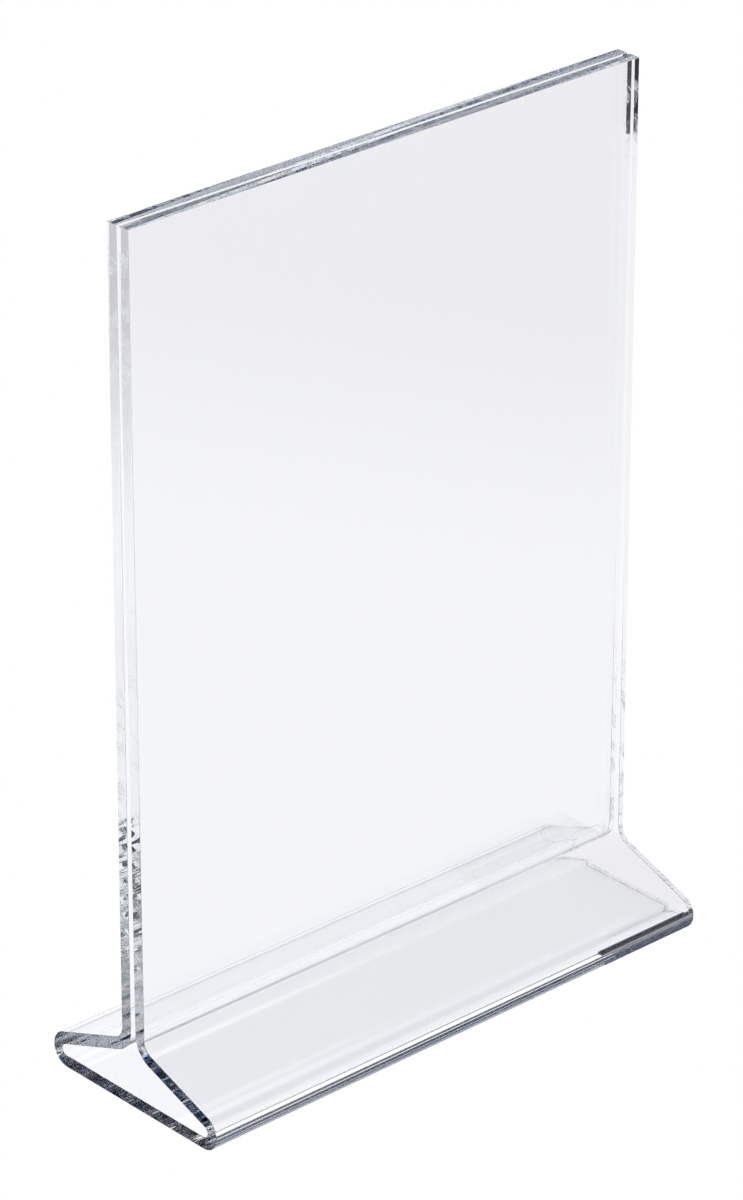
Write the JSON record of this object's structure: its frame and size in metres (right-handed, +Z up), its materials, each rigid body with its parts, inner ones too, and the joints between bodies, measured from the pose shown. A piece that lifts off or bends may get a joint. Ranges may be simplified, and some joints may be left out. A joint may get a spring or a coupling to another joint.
{
  "type": "sign stand",
  "caption": "Clear two-sided sign holder bent from one acrylic sheet: two upright panels with a narrow slot between them on a hollow three-cornered foot.",
  "frame": {"origin": "middle of the foot's flat underside, on the table, below the middle of the slot", "axes": "+X along the width, which is the direction of every bend line; +Y towards the rear panel; +Z up, towards the open top of the slot"},
  "size_m": [0.216, 0.0816, 0.3095],
  "materials": {
    "clear_acrylic": "clear cast acrylic, polished faces and polished saw-cut edges"
  },
  "bodies": {
    "root": {"base_plate": "clear_acrylic", "front_toe_bend": "clear_acrylic", "rear_toe_bend": "clear_acrylic", "front_slope": "clear_acrylic", "rear_slope": "clear_acrylic", "front_shoulder_bend": "clear_acrylic", "rear_shoulder_bend": "clear_acrylic", "front_panel": "clear_acrylic", "rear_panel": "clear_acrylic"}
  },
  "joints": []
}
